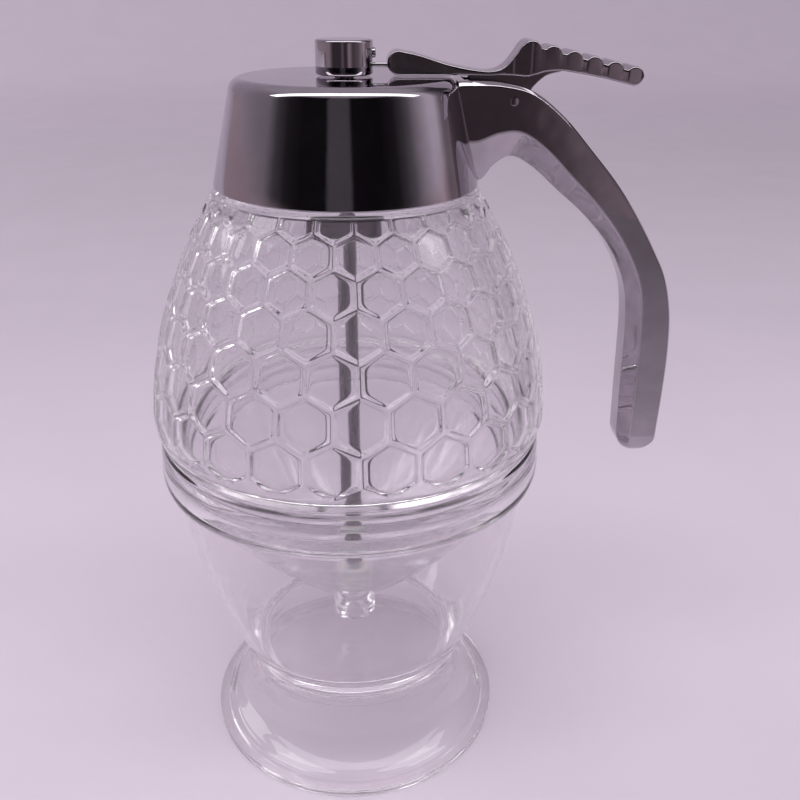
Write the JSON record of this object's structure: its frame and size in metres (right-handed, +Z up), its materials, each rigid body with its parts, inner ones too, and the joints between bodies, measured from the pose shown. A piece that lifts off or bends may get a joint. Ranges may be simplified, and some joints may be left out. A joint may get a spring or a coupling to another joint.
{
  "type": "honey dispenser",
  "caption": "Clear honey dispenser: honeycomb jar with a funnel nozzle, chromed cap with handle and thumb lever that lifts a stopper rod, resting in a clear pedestal stand.",
  "frame": {"origin": "centre of the foot's underside, on the table", "axes": "+Z up along the jar's axis, +X towards the handle, the handle and lever lie in the XZ plane"},
  "size_m": [0.1191, 0.0907, 0.1702],
  "materials": {
    "clear_plastic": "clear, polished",
    "chrome": "dark mirror chrome plate",
    "steel": "drawn wire and turned steel",
    "seal_rubber": "soft matte",
    "silicone": "translucent silicone",
    "white_plastic": "fine satin"
  },
  "bodies": {
    "stand": {"stand": "clear_plastic"},
    "jar": {"jar_funnel": "clear_plastic", "jar_hive": "clear_plastic"},
    "seal": {"cap_seal": "seal_rubber"},
    "cap": {"cap_shell": "chrome", "handle": "chrome", "handle_screws": "steel", "spring_housing": "chrome", "guide_bush": "white_plastic", "spring": "steel", "pivot_pin": "steel"},
    "lever": {"lever": "chrome", "lift_pin": "steel"},
    "plunger": {"rod": "steel", "knob": "chrome", "knob_screw": "steel", "spring_collar": "steel", "stopper": "silicone"}
  },
  "joints": [
    {"name": "jar_lift", "type": "slide", "parent": "stand", "child": "jar", "axis": [0, 0, 1], "range_m": [0, 0.075]},
    {"name": "cap_lift", "type": "slide", "parent": "jar", "child": "seal", "axis": [0, 0, 1], "range_m": [0, 0.125]},
    {"name": "cap_turn", "type": "hinge", "parent": "seal", "child": "cap", "pos_m": [0, 0, 0.1517], "axis": [0, 0, 1], "range_deg": [0, 450]},
    {"name": "lever_press", "type": "hinge", "parent": "cap", "child": "lever", "pos_m": [0.034, 0, 0.1589], "axis": [0, 1, 0], "range_deg": [0, 11]},
    {"name": "plunger_lift", "type": "slide", "parent": "cap", "child": "plunger", "axis": [0, 0, 1], "range_m": [0, 0.0058], "stiffness_N_per_m": 180, "springref_m": -0.008, "deforming": ["spring"]}
  ],
  "couplings": [
    {"joint": "lever_press", "follows": "plunger_lift", "rad_per_m": 33.1}
  ]
}
